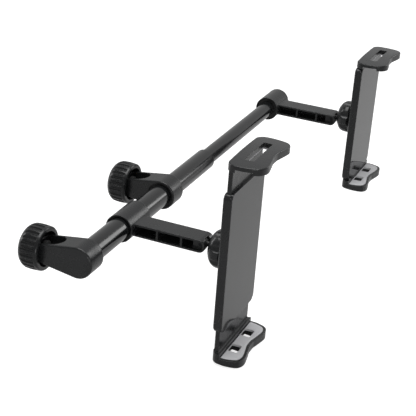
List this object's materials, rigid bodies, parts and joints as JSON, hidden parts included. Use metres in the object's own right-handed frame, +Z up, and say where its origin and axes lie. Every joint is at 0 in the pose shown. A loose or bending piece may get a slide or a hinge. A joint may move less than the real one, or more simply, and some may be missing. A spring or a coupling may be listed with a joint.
{
  "type": "headrest phone holder",
  "caption": "Telescopic bar that clamps on a car headrest's posts, with a spring-jaw phone cradle on a swinging arm for each rear seat.",
  "frame": {"origin": "centre of the near clamp's post saddle, on the near post's axis at the clamp's mid-height", "axes": "+Z up along the posts, +Y along the bar from the near clamp to the far arm, +X from the posts to the cradles"},
  "size_m": [0.1645, 0.4354, 0.1625],
  "materials": {
    "painted_tube": "gloss black enamel",
    "black_shell": "moulded, half gloss",
    "knob_plastic": "moulded, satin",
    "bush_plastic": "moulded",
    "filled_nylon": "moulded",
    "natural_nylon": "moulded",
    "steel": "zinc plated",
    "brass": "machined",
    "grey_plate": "polished",
    "grey_rubber": "silicone",
    "black_rubber": "moulded"
  },
  "bodies": {
    "bar": {"main_tube": "painted_tube", "mouth_bush": "bush_plastic", "near_clamp_body": "black_shell", "near_screw_insert": "brass"},
    "near_pad": {"near_pressure_pad": "black_rubber"},
    "near_knob": {"near_clamp_knob": "knob_plastic", "near_clamp_screw": "steel"},
    "far_clamp_slider": {"far_clamp_bush": "bush_plastic"},
    "far_clamp": {"far_clamp_body": "black_shell", "far_screw_insert": "brass"},
    "far_pad": {"far_pressure_pad": "black_rubber"},
    "far_knob": {"far_clamp_knob": "knob_plastic", "far_clamp_screw": "steel"},
    "inner_bar": {"inner_tube": "painted_tube", "inner_guide_ring": "bush_plastic", "end_cap": "bush_plastic", "far_arm_bush": "bush_plastic"},
    "near_arm_slider": {"near_arm_bush": "bush_plastic"},
    "near_arm": {"near_arm": "black_shell", "near_knuckle_pin": "steel"},
    "near_stud": {"near_ball_stud": "filled_nylon"},
    "near_seat": {"near_ball_seat": "natural_nylon"},
    "near_nut": {"near_lock_nut": "black_shell"},
    "near_cradle": {"near_cradle_housing": "black_shell", "near_face_plate": "grey_plate", "near_plate_screws": "steel", "near_jaw_spring": "steel"},
    "near_top": {"near_top_jaw": "black_shell", "near_top_jaw_pad": "grey_rubber"},
    "near_bottom": {"near_bottom_jaw": "black_shell", "near_bottom_jaw_pad": "grey_rubber"},
    "near_gear": {"near_jaw_gear": "natural_nylon"},
    "far_arm": {"far_arm": "black_shell", "far_knuckle_pin": "steel"},
    "far_stud": {"far_ball_stud": "filled_nylon"},
    "far_seat": {"far_ball_seat": "natural_nylon"},
    "far_nut": {"far_lock_nut": "black_shell"},
    "far_cradle": {"far_cradle_housing": "black_shell", "far_face_plate": "grey_plate", "far_plate_screws": "steel", "far_jaw_spring": "steel"},
    "far_top": {"far_top_jaw": "black_shell", "far_top_jaw_pad": "grey_rubber"},
    "far_bottom": {"far_bottom_jaw": "black_shell", "far_bottom_jaw_pad": "grey_rubber"},
    "far_gear": {"far_jaw_gear": "natural_nylon"}
  },
  "joints": [
    {"name": "inner_tube_slide", "type": "slide", "parent": "bar", "child": "inner_bar", "axis": [0, 1, 0], "range_m": [-0.145, 0.03]},
    {"name": "far_clamp_slide", "type": "slide", "parent": "bar", "child": "far_clamp_slider", "axis": [0, 1, 0], "range_m": [-0.02, 0.04]},
    {"name": "far_clamp_turn", "type": "hinge", "parent": "far_clamp_slider", "child": "far_clamp", "pos_m": [0.0215, 0.138, 0], "axis": [0, 1, 0], "range_deg": [-30, 30]},
    {"name": "near_arm_slide", "type": "slide", "parent": "bar", "child": "near_arm_slider", "axis": [0, 1, 0], "range_m": [-0.035, 0.01]},
    {"name": "near_pad_travel", "type": "slide", "parent": "bar", "child": "near_pad", "axis": [1, 0, 0], "range_m": [-0.0012, 0.0045]},
    {"name": "near_knob_turn", "type": "hinge", "parent": "near_pad", "child": "near_knob", "pos_m": [-0.01, 0, 0], "axis": [1, 0, 0], "range_deg": [-430, 1615]},
    {"name": "far_pad_travel", "type": "slide", "parent": "far_clamp", "child": "far_pad", "axis": [1, 0, 0], "range_m": [-0.0012, 0.0045]},
    {"name": "far_knob_turn", "type": "hinge", "parent": "far_pad", "child": "far_knob", "pos_m": [-0.01, 0.138, 0], "axis": [1, 0, 0], "range_deg": [-430, 1615]},
    {"name": "near_arm_swing", "type": "hinge", "parent": "near_arm_slider", "child": "near_arm", "pos_m": [0.0215, 0.06934, 0], "axis": [0, 1, 0], "continuous": true},
    {"name": "near_stud_tilt", "type": "hinge", "parent": "near_arm", "child": "near_stud", "pos_m": [0.0855, 0.06934, 0], "axis": [0, 1, 0], "range_deg": [-30, 20]},
    {"name": "near_ball_tilt", "type": "hinge", "parent": "near_stud", "child": "near_seat", "pos_m": [0.10044, 0.06934, -0.00135], "axis": [0, 1, 0], "range_deg": [-8, 8]},
    {"name": "near_ball_swivel", "type": "hinge", "parent": "near_seat", "child": "near_nut", "pos_m": [0.10044, 0.06934, -0.00135], "axis": [0, 0, 1], "range_deg": [-8, 8]},
    {"name": "near_cradle_spin", "type": "hinge", "parent": "near_nut", "child": "near_cradle", "pos_m": [0.10044, 0.06934, -0.00135], "axis": [1, 0, 0], "continuous": true},
    {"name": "near_top_slide", "type": "slide", "parent": "near_cradle", "child": "near_top", "axis": [0, 0, 1], "range_m": [-0.0172, 0.0028], "deforming": ["near_jaw_spring"]},
    {"name": "near_bottom_slide", "type": "slide", "parent": "near_cradle", "child": "near_bottom", "axis": [0, 0, -1], "range_m": [-0.0172, 0.0028]},
    {"name": "near_gear_turn", "type": "hinge", "parent": "near_cradle", "child": "near_gear", "pos_m": [0.11074, 0.06934, 0.00125], "axis": [1, 0, 0], "range_deg": [-142, 24]},
    {"name": "far_arm_swing", "type": "hinge", "parent": "inner_bar", "child": "far_arm", "pos_m": [0.0215, 0.38594, 0], "axis": [0, 1, 0], "continuous": true},
    {"name": "far_stud_tilt", "type": "hinge", "parent": "far_arm", "child": "far_stud", "pos_m": [0.0855, 0.38594, 0], "axis": [0, 1, 0], "range_deg": [-8, 40]},
    {"name": "far_ball_tilt", "type": "hinge", "parent": "far_stud", "child": "far_seat", "pos_m": [0.09981, 0.38594, 0.0045], "axis": [0, 1, 0], "range_deg": [-6, 6]},
    {"name": "far_ball_swivel", "type": "hinge", "parent": "far_seat", "child": "far_nut", "pos_m": [0.09981, 0.38594, 0.0045], "axis": [0, 0, 1], "range_deg": [-5, 5]},
    {"name": "far_cradle_spin", "type": "hinge", "parent": "far_nut", "child": "far_cradle", "pos_m": [0.09981, 0.38594, 0.0045], "axis": [1, 0, 0], "continuous": true},
    {"name": "far_top_slide", "type": "slide", "parent": "far_cradle", "child": "far_top", "axis": [0, 0, 1], "range_m": [0, 0.02], "stiffness_N_per_m": 40, "springref_m": -0.02, "deforming": ["far_jaw_spring"]},
    {"name": "far_bottom_slide", "type": "slide", "parent": "far_cradle", "child": "far_bottom", "axis": [0, 0, -1], "range_m": [0, 0.02]},
    {"name": "far_gear_turn", "type": "hinge", "parent": "far_cradle", "child": "far_gear", "pos_m": [0.11011, 0.38594, 0.0071], "axis": [1, 0, 0], "range_deg": [-1, 165]}
  ],
  "couplings": [
    {"joint": "near_pad_travel", "follows": "near_knob_turn", "m_per_rad": 0.00015915},
    {"joint": "far_pad_travel", "follows": "far_knob_turn", "m_per_rad": 0.00015915},
    {"joint": "near_bottom_slide", "follows": "near_top_slide", "ratio": 1},
    {"joint": "near_gear_turn", "follows": "near_top_slide", "rad_per_m": 142.86},
    {"joint": "far_bottom_slide", "follows": "far_top_slide", "ratio": 1},
    {"joint": "far_gear_turn", "follows": "far_top_slide", "rad_per_m": 142.86}
  ]
}
